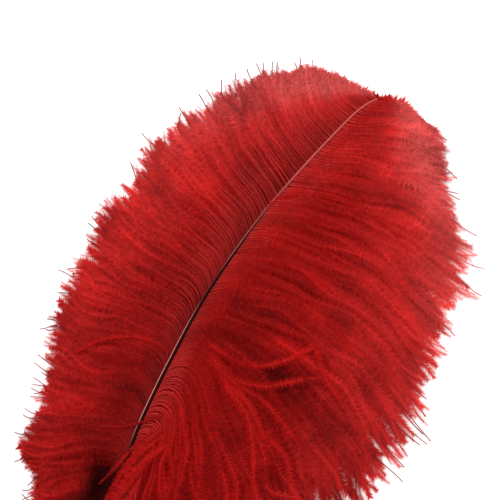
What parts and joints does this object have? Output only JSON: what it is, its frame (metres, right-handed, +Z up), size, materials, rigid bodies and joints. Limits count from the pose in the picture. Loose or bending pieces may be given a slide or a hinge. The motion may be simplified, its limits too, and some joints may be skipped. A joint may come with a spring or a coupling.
{
  "type": "ostrich feather",
  "caption": "Full ostrich plume dyed red, with soft vanes of drooping barbs on a curved shaft that hooks at the tip and ends in a bare quill; lies flat.",
  "frame": {"origin": "point on the flat underside below the shaft, 205 mm along it from the quill's end", "axes": "+Z up from the table, out of the feather's arched upper side; +Y along the straight line from the quill's end to the shaft's tip; +X towards the wide vane, which is on the right when the tip points away"},
  "size_m": [0.199, 0.3479, 0.0195],
  "materials": {
    "barbs": "soft dyed down, matte with a faint sheen",
    "shaft": "dyed horn, satin"
  },
  "bodies": {
    "root": {"feather": "barbs"}
  },
  "joints": []
}
